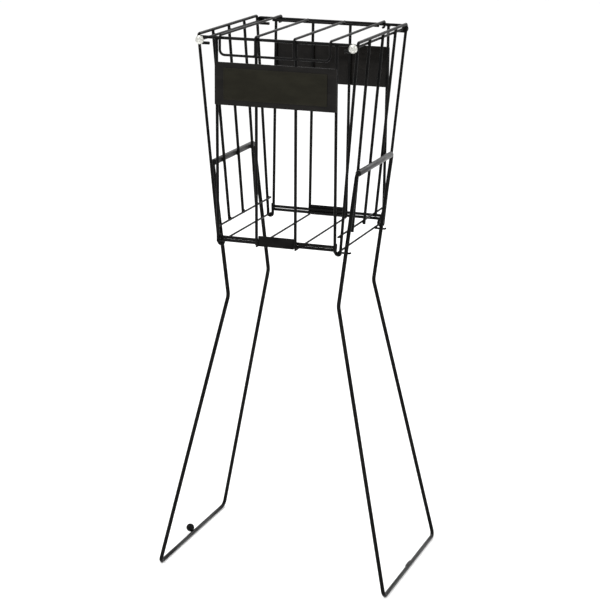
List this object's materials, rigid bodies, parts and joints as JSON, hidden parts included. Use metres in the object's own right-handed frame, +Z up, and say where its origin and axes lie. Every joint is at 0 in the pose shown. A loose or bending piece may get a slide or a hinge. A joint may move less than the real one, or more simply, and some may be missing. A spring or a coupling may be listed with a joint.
{
  "type": "tennis ball hopper",
  "caption": "Wire basket for tennis balls with a hinged wire lid, on two fold-over wire legs that also make its carrying handle.",
  "frame": {"origin": "on the floor, under the middle of the basket; the knob on one foot bar puts the bounding box's middle 5 mm to the left of it", "axes": "+Z up, the lid's front flap and the sign panel face -Y, the lid hinges at +Y, +X is the right-hand leg"},
  "size_m": [0.4079, 0.2882, 0.8919],
  "materials": {
    "black_wire": "semi-gloss powder coat",
    "tube": "satin",
    "cap_metal": "bright",
    "black_plastic": "fine texture",
    "panel_print": "satin film"
  },
  "bodies": {
    "basket": {"left_axle": "black_wire", "right_axle": "black_wire", "left_front_axle_cap": "cap_metal", "right_front_axle_cap": "cap_metal", "left_back_axle_cap": "black_plastic", "right_back_axle_cap": "black_plastic", "left_top_rail": "black_wire", "right_top_rail": "black_wire", "front_top_rail": "black_wire", "back_top_rail": "black_wire", "front_wall_wire_1": "black_wire", "front_wall_wire_2": "black_wire", "front_wall_wire_3": "black_wire", "front_wall_wire_4": "black_wire", "back_wall_wire_1": "black_wire", "back_wall_wire_2": "black_wire", "back_wall_wire_3": "black_wire", "back_wall_wire_4": "black_wire", "left_side_wire_1": "black_wire", "left_side_wire_2": "black_wire", "left_side_wire_3": "black_wire", "right_side_wire_1": "black_wire", "right_side_wire_2": "black_wire", "right_side_wire_3": "black_wire", "left_front_corner_wire": "black_wire", "left_back_corner_wire": "black_wire", "right_front_corner_wire": "black_wire", "right_back_corner_wire": "black_wire", "left_low_side_wire": "black_wire", "right_low_side_wire": "black_wire", "left_outer_bottom_rod": "black_wire", "left_inner_bottom_rod": "black_wire", "right_inner_bottom_rod": "black_wire", "right_outer_bottom_rod": "black_wire", "front_bottom_rail_upper": "black_wire", "front_bottom_rail_lower": "black_wire", "back_bottom_rail_upper": "black_wire", "back_bottom_rail_lower": "black_wire", "front_bottom_plate": "black_wire", "back_bottom_plate": "black_wire", "right_front_leg_hook": "black_wire", "right_back_leg_hook": "black_wire", "left_pivot_tube": "tube", "right_pivot_tube": "tube", "front_sign_plate": "black_plastic", "front_sign_panel": "panel_print", "back_sign_plate": "black_plastic"},
    "left_leg_frame": {"left_leg": "black_wire", "left_foot_knob": "black_plastic"},
    "right_leg_frame": {"right_leg": "black_wire", "right_foot_saddle": "black_plastic"},
    "lid": {"lid_frame": "black_wire", "lid_left_bar": "black_wire", "lid_right_bar": "black_wire", "lid_cross_wire": "black_wire"}
  },
  "joints": [
    {"name": "left_leg_swing", "type": "hinge", "parent": "basket", "child": "left_leg_frame", "pos_m": [-0.121, 0, 0.68], "axis": [0, 1, 0], "range_deg": [0, 183]},
    {"name": "right_leg_swing", "type": "hinge", "parent": "basket", "child": "right_leg_frame", "pos_m": [0.121, 0, 0.68], "axis": [0, -1, 0], "range_deg": [0, 183]},
    {"name": "lid_hinge", "type": "hinge", "parent": "basket", "child": "lid", "pos_m": [0, 0.1305, 0.8853], "axis": [-1, 0, 0], "range_deg": [0, 250]}
  ]
}
